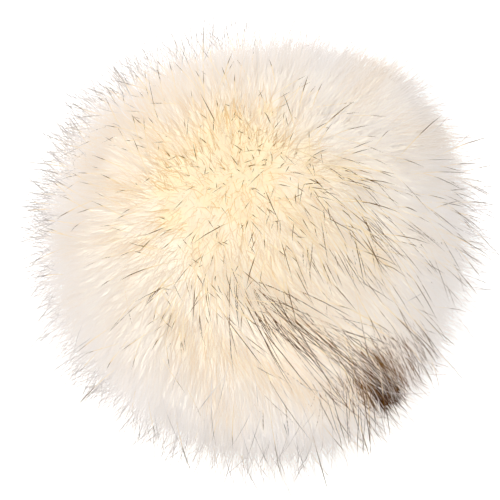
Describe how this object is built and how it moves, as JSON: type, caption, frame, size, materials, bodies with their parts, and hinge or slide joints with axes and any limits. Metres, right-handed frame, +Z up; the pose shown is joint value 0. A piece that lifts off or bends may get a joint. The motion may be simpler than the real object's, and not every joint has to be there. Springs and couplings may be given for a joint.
{
  "type": "pom pom",
  "caption": "Round fluffy fur pom pom: a dense cream ball of soft pile with fine dark-tipped guard hairs, level where it rests.",
  "frame": {"origin": "middle of the level spot under the ball, on the surface that it rests on", "axes": "+Z up; -Y is the side that faces the viewer; +X is to the viewer's right"},
  "size_m": [0.1421, 0.1349, 0.1263],
  "materials": {
    "cream_fur": "long, soft, matt pile in warm cream with scattered dark brown hair tips"
  },
  "bodies": {
    "root": {"fur_ball": "cream_fur"}
  },
  "joints": []
}
